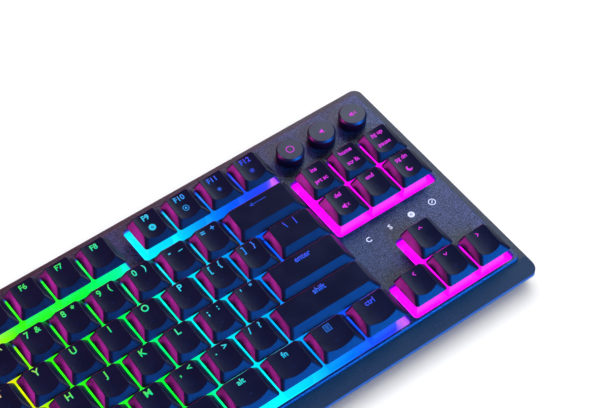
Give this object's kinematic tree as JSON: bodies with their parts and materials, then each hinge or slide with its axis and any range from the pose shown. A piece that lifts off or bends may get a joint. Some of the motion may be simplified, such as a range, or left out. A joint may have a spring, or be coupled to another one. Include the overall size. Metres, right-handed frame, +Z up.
{
  "type": "mechanical keyboard",
  "caption": "Tenkeyless mechanical keyboard with low floating keycaps, a lit key bed, three round media buttons and flip feet.",
  "frame": {"origin": "on the desk under the middle of the case, at the bottom of the rubber feet", "axes": "+X to the typist's right along the key rows, +Y away from the typist towards the socket, +Z up"},
  "size_m": [0.361, 0.1396, 0.0276],
  "materials": {
    "keycap": "fine matte moulded ABS",
    "steel_wire": "drawn spring steel",
    "media_button": "satin moulded plastic",
    "case_plastic": "fine textured moulded plastic",
    "frame_plastic": "fine textured moulded plastic",
    "cover_metal": "speckled matte coating",
    "board": "white solder mask",
    "diffuser": "milky translucent sheet",
    "lamp": "clear lamp body",
    "switch_base": "milky moulded nylon",
    "switch_top": "clear moulded polycarbonate",
    "contact_metal": "plated leaf",
    "tact_switch": "small moulded body",
    "lens": "clear moulded light pipe",
    "steel_shell": "drawn steel shell",
    "chip": "moulded chip package",
    "screw_steel": "zinc plated",
    "foot_rubber": "soft matte rubber"
  },
  "bodies": {
    "case": {"bottom_case": "case_plastic", "side_frame": "frame_plastic", "top_cover": "cover_metal", "circuit_board": "board", "light_diffuser": "diffuser", "key_lights": "lamp", "switch_bases": "switch_base", "switch_tops": "switch_top", "switch_springs": "steel_wire", "switch_contacts": "contact_metal", "stabiliser_housings": "switch_top", "media_switches": "tact_switch", "indicator_lenses": "lens", "usb_socket": "steel_shell", "controller_chips": "chip", "case_screws": "screw_steel", "rubber_feet": "foot_rubber"},
    "key_escape": {"key_escape": "keycap"},
    "keys_f1_to_f4": {"keys_f1_to_f4": "keycap"},
    "keys_f5_to_f8": {"keys_f5_to_f8": "keycap"},
    "keys_f9_to_f12": {"keys_f9_to_f12": "keycap"},
    "keys_number_row": {"keys_number_row": "keycap"},
    "key_backspace": {"key_backspace": "keycap"},
    "key_tab": {"key_tab": "keycap"},
    "keys_upper_row": {"keys_upper_row": "keycap"},
    "key_backslash": {"key_backslash": "keycap"},
    "key_caps_lock": {"key_caps_lock": "keycap"},
    "keys_home_row": {"keys_home_row": "keycap"},
    "key_enter": {"key_enter": "keycap"},
    "key_left_shift": {"key_left_shift": "keycap"},
    "keys_lower_row": {"keys_lower_row": "keycap"},
    "key_right_shift": {"key_right_shift": "keycap"},
    "key_left_ctrl": {"key_left_ctrl": "keycap"},
    "key_system": {"key_system": "keycap"},
    "key_left_alt": {"key_left_alt": "keycap"},
    "key_space": {"key_space": "keycap"},
    "key_right_alt": {"key_right_alt": "keycap"},
    "key_function": {"key_function": "keycap"},
    "key_menu": {"key_menu": "keycap"},
    "key_right_ctrl": {"key_right_ctrl": "keycap"},
    "key_insert": {"key_insert": "keycap"},
    "key_home": {"key_home": "keycap"},
    "key_page_up": {"key_page_up": "keycap"},
    "key_delete": {"key_delete": "keycap"},
    "key_end": {"key_end": "keycap"},
    "key_page_down": {"key_page_down": "keycap"},
    "key_arrow_up": {"key_arrow_up": "keycap"},
    "key_arrow_left": {"key_arrow_left": "keycap"},
    "key_arrow_down": {"key_arrow_down": "keycap"},
    "key_arrow_right": {"key_arrow_right": "keycap"},
    "wire_backspace": {"wire_backspace": "steel_wire"},
    "wire_enter": {"wire_enter": "steel_wire"},
    "wire_left_shift": {"wire_left_shift": "steel_wire"},
    "wire_right_shift": {"wire_right_shift": "steel_wire"},
    "wire_space": {"wire_space": "steel_wire"},
    "button_ring": {"button_ring": "media_button"},
    "button_volume_down": {"button_volume_down": "media_button"},
    "button_volume_up": {"button_volume_up": "media_button"},
    "flip_foot_left": {"flip_foot_left": "case_plastic"},
    "flip_foot_right": {"flip_foot_right": "case_plastic"}
  },
  "joints": [
    {"name": "key_escape_press", "type": "slide", "parent": "case", "child": "key_escape", "axis": [0, 0, -1], "range_m": [0, 0.003], "stiffness_N_per_m": 180, "springref_m": -0.0015, "deforming": ["switch_springs"]},
    {"name": "keys_f1_to_f4_press", "type": "slide", "parent": "case", "child": "keys_f1_to_f4", "axis": [0, 0, -1], "range_m": [0, 0.003], "stiffness_N_per_m": 720, "springref_m": -0.0015, "deforming": ["switch_springs"]},
    {"name": "keys_f5_to_f8_press", "type": "slide", "parent": "case", "child": "keys_f5_to_f8", "axis": [0, 0, -1], "range_m": [0, 0.003], "stiffness_N_per_m": 720, "springref_m": -0.0015, "deforming": ["switch_springs"]},
    {"name": "keys_f9_to_f12_press", "type": "slide", "parent": "case", "child": "keys_f9_to_f12", "axis": [0, 0, -1], "range_m": [0, 0.003], "stiffness_N_per_m": 720, "springref_m": -0.0015, "deforming": ["switch_springs"]},
    {"name": "keys_number_row_press", "type": "slide", "parent": "case", "child": "keys_number_row", "axis": [0, 0, -1], "range_m": [0, 0.003], "stiffness_N_per_m": 2340, "springref_m": -0.0015, "deforming": ["switch_springs"]},
    {"name": "key_backspace_press", "type": "slide", "parent": "case", "child": "key_backspace", "axis": [0, 0, -1], "range_m": [0, 0.003], "stiffness_N_per_m": 180, "springref_m": -0.0015, "deforming": ["switch_springs"]},
    {"name": "key_tab_press", "type": "slide", "parent": "case", "child": "key_tab", "axis": [0, 0, -1], "range_m": [0, 0.003], "stiffness_N_per_m": 180, "springref_m": -0.0015, "deforming": ["switch_springs"]},
    {"name": "keys_upper_row_press", "type": "slide", "parent": "case", "child": "keys_upper_row", "axis": [0, 0, -1], "range_m": [0, 0.003], "stiffness_N_per_m": 2160, "springref_m": -0.0015, "deforming": ["switch_springs"]},
    {"name": "key_backslash_press", "type": "slide", "parent": "case", "child": "key_backslash", "axis": [0, 0, -1], "range_m": [0, 0.003], "stiffness_N_per_m": 180, "springref_m": -0.0015, "deforming": ["switch_springs"]},
    {"name": "key_caps_lock_press", "type": "slide", "parent": "case", "child": "key_caps_lock", "axis": [0, 0, -1], "range_m": [0, 0.003], "stiffness_N_per_m": 180, "springref_m": -0.0015, "deforming": ["switch_springs"]},
    {"name": "keys_home_row_press", "type": "slide", "parent": "case", "child": "keys_home_row", "axis": [0, 0, -1], "range_m": [0, 0.003], "stiffness_N_per_m": 1980, "springref_m": -0.0015, "deforming": ["switch_springs"]},
    {"name": "key_enter_press", "type": "slide", "parent": "case", "child": "key_enter", "axis": [0, 0, -1], "range_m": [0, 0.003], "stiffness_N_per_m": 180, "springref_m": -0.0015, "deforming": ["switch_springs"]},
    {"name": "key_left_shift_press", "type": "slide", "parent": "case", "child": "key_left_shift", "axis": [0, 0, -1], "range_m": [0, 0.003], "stiffness_N_per_m": 180, "springref_m": -0.0015, "deforming": ["switch_springs"]},
    {"name": "keys_lower_row_press", "type": "slide", "parent": "case", "child": "keys_lower_row", "axis": [0, 0, -1], "range_m": [0, 0.003], "stiffness_N_per_m": 1800, "springref_m": -0.0015, "deforming": ["switch_springs"]},
    {"name": "key_right_shift_press", "type": "slide", "parent": "case", "child": "key_right_shift", "axis": [0, 0, -1], "range_m": [0, 0.003], "stiffness_N_per_m": 180, "springref_m": -0.0015, "deforming": ["switch_springs"]},
    {"name": "key_left_ctrl_press", "type": "slide", "parent": "case", "child": "key_left_ctrl", "axis": [0, 0, -1], "range_m": [0, 0.003], "stiffness_N_per_m": 180, "springref_m": -0.0015, "deforming": ["switch_springs"]},
    {"name": "key_system_press", "type": "slide", "parent": "case", "child": "key_system", "axis": [0, 0, -1], "range_m": [0, 0.003], "stiffness_N_per_m": 180, "springref_m": -0.0015, "deforming": ["switch_springs"]},
    {"name": "key_left_alt_press", "type": "slide", "parent": "case", "child": "key_left_alt", "axis": [0, 0, -1], "range_m": [0, 0.003], "stiffness_N_per_m": 180, "springref_m": -0.0015, "deforming": ["switch_springs"]},
    {"name": "key_space_press", "type": "slide", "parent": "case", "child": "key_space", "axis": [0, 0, -1], "range_m": [0, 0.003], "stiffness_N_per_m": 180, "springref_m": -0.0015, "deforming": ["switch_springs"]},
    {"name": "key_right_alt_press", "type": "slide", "parent": "case", "child": "key_right_alt", "axis": [0, 0, -1], "range_m": [0, 0.003], "stiffness_N_per_m": 180, "springref_m": -0.0015, "deforming": ["switch_springs"]},
    {"name": "key_function_press", "type": "slide", "parent": "case", "child": "key_function", "axis": [0, 0, -1], "range_m": [0, 0.003], "stiffness_N_per_m": 180, "springref_m": -0.0015, "deforming": ["switch_springs"]},
    {"name": "key_menu_press", "type": "slide", "parent": "case", "child": "key_menu", "axis": [0, 0, -1], "range_m": [0, 0.003], "stiffness_N_per_m": 180, "springref_m": -0.0015, "deforming": ["switch_springs"]},
    {"name": "key_right_ctrl_press", "type": "slide", "parent": "case", "child": "key_right_ctrl", "axis": [0, 0, -1], "range_m": [0, 0.003], "stiffness_N_per_m": 180, "springref_m": -0.0015, "deforming": ["switch_springs"]},
    {"name": "key_insert_press", "type": "slide", "parent": "case", "child": "key_insert", "axis": [0, 0, -1], "range_m": [0, 0.003], "stiffness_N_per_m": 180, "springref_m": -0.0015, "deforming": ["switch_springs"]},
    {"name": "key_home_press", "type": "slide", "parent": "case", "child": "key_home", "axis": [0, 0, -1], "range_m": [0, 0.003], "stiffness_N_per_m": 180, "springref_m": -0.0015, "deforming": ["switch_springs"]},
    {"name": "key_page_up_press", "type": "slide", "parent": "case", "child": "key_page_up", "axis": [0, 0, -1], "range_m": [0, 0.003], "stiffness_N_per_m": 180, "springref_m": -0.0015, "deforming": ["switch_springs"]},
    {"name": "key_delete_press", "type": "slide", "parent": "case", "child": "key_delete", "axis": [0, 0, -1], "range_m": [0, 0.003], "stiffness_N_per_m": 180, "springref_m": -0.0015, "deforming": ["switch_springs"]},
    {"name": "key_end_press", "type": "slide", "parent": "case", "child": "key_end", "axis": [0, 0, -1], "range_m": [0, 0.003], "stiffness_N_per_m": 180, "springref_m": -0.0015, "deforming": ["switch_springs"]},
    {"name": "key_page_down_press", "type": "slide", "parent": "case", "child": "key_page_down", "axis": [0, 0, -1], "range_m": [0, 0.003], "stiffness_N_per_m": 180, "springref_m": -0.0015, "deforming": ["switch_springs"]},
    {"name": "key_arrow_up_press", "type": "slide", "parent": "case", "child": "key_arrow_up", "axis": [0, 0, -1], "range_m": [0, 0.003], "stiffness_N_per_m": 180, "springref_m": -0.0015, "deforming": ["switch_springs"]},
    {"name": "key_arrow_left_press", "type": "slide", "parent": "case", "child": "key_arrow_left", "axis": [0, 0, -1], "range_m": [0, 0.003], "stiffness_N_per_m": 180, "springref_m": -0.0015, "deforming": ["switch_springs"]},
    {"name": "key_arrow_down_press", "type": "slide", "parent": "case", "child": "key_arrow_down", "axis": [0, 0, -1], "range_m": [0, 0.003], "stiffness_N_per_m": 180, "springref_m": -0.0015, "deforming": ["switch_springs"]},
    {"name": "key_arrow_right_press", "type": "slide", "parent": "case", "child": "key_arrow_right", "axis": [0, 0, -1], "range_m": [0, 0.003], "stiffness_N_per_m": 180, "springref_m": -0.0015, "deforming": ["switch_springs"]},
    {"name": "wire_backspace_swing", "type": "hinge", "parent": "case", "child": "wire_backspace", "pos_m": [0, 0.0199, 0.0152], "axis": [1, 0, 0], "range_deg": [-23.44, 0]},
    {"name": "wire_enter_swing", "type": "hinge", "parent": "case", "child": "wire_enter", "pos_m": [0, -0.0182, 0.0152], "axis": [1, 0, 0], "range_deg": [-23.44, 0]},
    {"name": "wire_left_shift_swing", "type": "hinge", "parent": "case", "child": "wire_left_shift", "pos_m": [0, -0.03725, 0.0152], "axis": [1, 0, 0], "range_deg": [-23.44, 0]},
    {"name": "wire_right_shift_swing", "type": "hinge", "parent": "case", "child": "wire_right_shift", "pos_m": [0, -0.03725, 0.0152], "axis": [1, 0, 0], "range_deg": [-23.44, 0]},
    {"name": "wire_space_swing", "type": "hinge", "parent": "case", "child": "wire_space", "pos_m": [0, -0.0563, 0.0152], "axis": [1, 0, 0], "range_deg": [-23.44, 0]},
    {"name": "button_ring_press", "type": "slide", "parent": "case", "child": "button_ring", "axis": [0, 0, -1], "range_m": [0, 0.001], "stiffness_N_per_m": 1000, "springref_m": -0.0005},
    {"name": "button_volume_down_press", "type": "slide", "parent": "case", "child": "button_volume_down", "axis": [0, 0, -1], "range_m": [0, 0.001], "stiffness_N_per_m": 1000, "springref_m": -0.0005},
    {"name": "button_volume_up_press", "type": "slide", "parent": "case", "child": "button_volume_up", "axis": [0, 0, -1], "range_m": [0, 0.001], "stiffness_N_per_m": 1000, "springref_m": -0.0005},
    {"name": "flip_foot_left_hinge", "type": "hinge", "parent": "case", "child": "flip_foot_left", "pos_m": [-0.118, 0.05775, 0.0032], "axis": [1, 0, 0], "range_deg": [0, 95]},
    {"name": "flip_foot_right_hinge", "type": "hinge", "parent": "case", "child": "flip_foot_right", "pos_m": [0.118, 0.05775, 0.0032], "axis": [1, 0, 0], "range_deg": [0, 95]}
  ],
  "couplings": [
    {"joint": "wire_backspace_swing", "follows": "key_backspace_press", "rad_per_m": -136.08},
    {"joint": "wire_enter_swing", "follows": "key_enter_press", "rad_per_m": -136.08},
    {"joint": "wire_left_shift_swing", "follows": "key_left_shift_press", "rad_per_m": -136.08},
    {"joint": "wire_right_shift_swing", "follows": "key_right_shift_press", "rad_per_m": -136.08},
    {"joint": "wire_space_swing", "follows": "key_space_press", "rad_per_m": -136.08}
  ]
}
